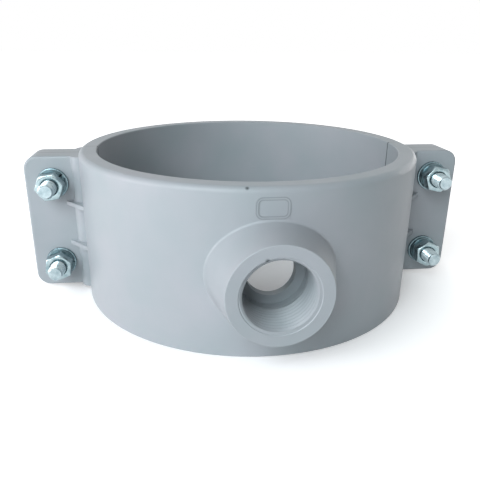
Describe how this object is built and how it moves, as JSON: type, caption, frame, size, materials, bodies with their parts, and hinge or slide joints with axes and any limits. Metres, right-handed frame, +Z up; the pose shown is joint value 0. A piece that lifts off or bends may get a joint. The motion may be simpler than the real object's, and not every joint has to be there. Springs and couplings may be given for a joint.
{
  "type": "tapping saddle",
  "caption": "Two-piece grey PVC tapping saddle bolted round a pipe, with a tapered boss that is tapped for a branch, and zinc-plated bolts.",
  "frame": {"origin": "the point on the pipe's axis that is level with the outlet's axis, halfway up the band", "axes": "+Z up along the pipe's axis, -Y out along the axis of the tapped outlet, +X across through the right ears"},
  "size_m": [0.234, 0.1977, 0.078],
  "materials": {
    "moulded_pvc": "grey moulded PVC, satin",
    "seal_rubber": "black, matt",
    "bolt_zinc": "bright zinc plate",
    "nut_zinc": "bright zinc plate",
    "spring_steel": "zinc plate, duller",
    "washer_zinc": "bright zinc plate"
  },
  "bodies": {
    "root": {"bolt_lower_left": "bolt_zinc", "bolt_lower_right": "bolt_zinc", "bolt_upper_left": "bolt_zinc", "bolt_upper_right": "bolt_zinc", "front_washer_lower_left": "washer_zinc", "front_washer_lower_right": "washer_zinc", "front_washer_upper_left": "washer_zinc", "front_washer_upper_right": "washer_zinc", "lock_washer_lower_left": "spring_steel", "lock_washer_lower_right": "spring_steel", "lock_washer_upper_left": "spring_steel", "lock_washer_upper_right": "spring_steel", "nut_lower_left": "nut_zinc", "nut_lower_right": "nut_zinc", "nut_upper_left": "nut_zinc", "nut_upper_right": "nut_zinc", "outlet_half": "moulded_pvc", "outlet_seal": "seal_rubber", "rear_washer_lower_left": "washer_zinc", "rear_washer_lower_right": "washer_zinc", "rear_washer_upper_left": "washer_zinc", "rear_washer_upper_right": "washer_zinc", "strap_half": "moulded_pvc"}
  },
  "joints": []
}
